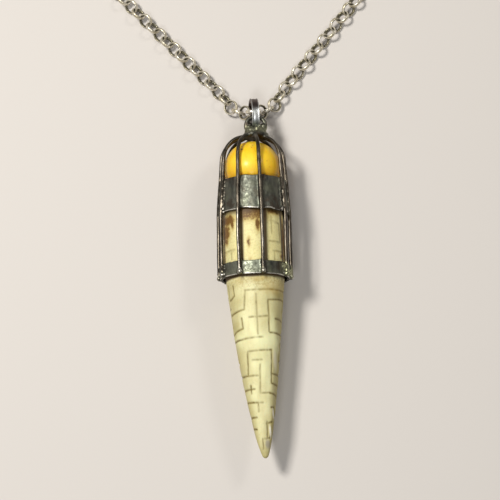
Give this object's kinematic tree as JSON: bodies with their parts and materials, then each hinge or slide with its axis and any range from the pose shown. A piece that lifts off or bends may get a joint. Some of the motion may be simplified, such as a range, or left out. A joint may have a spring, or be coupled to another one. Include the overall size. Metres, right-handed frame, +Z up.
{
  "type": "amulet",
  "caption": "Amulet lying on a table: a golden bead in a dark silver wire cage above a carved bone spike, on a closed belcher chain.",
  "frame": {"origin": "middle of the whole piece in X and Y, on the table that it lies on", "axes": "+Z up from the table; the pendant lies along Y with its tip towards -Y, and the chain's loop lies towards +Y; +X is to the right seen from the tip"},
  "size_m": [0.1352, 0.2388, 0.015],
  "materials": {
    "oxidised_silver": "dark oxidised silver, rough with brighter edges",
    "antique_silver": "antique silver, bright on its edges and dark inside the links",
    "carved_bone": "cream bone, satin, with dark engraved lines and brown stains",
    "golden_bead": "polished golden amber with small brown specks"
  },
  "bodies": {
    "root": {"cage": "oxidised_silver", "bone_spike": "carved_bone", "bead": "golden_bead", "bail": "oxidised_silver", "chain_left": "antique_silver", "chain_right": "antique_silver", "clasp": "antique_silver"}
  },
  "joints": []
}
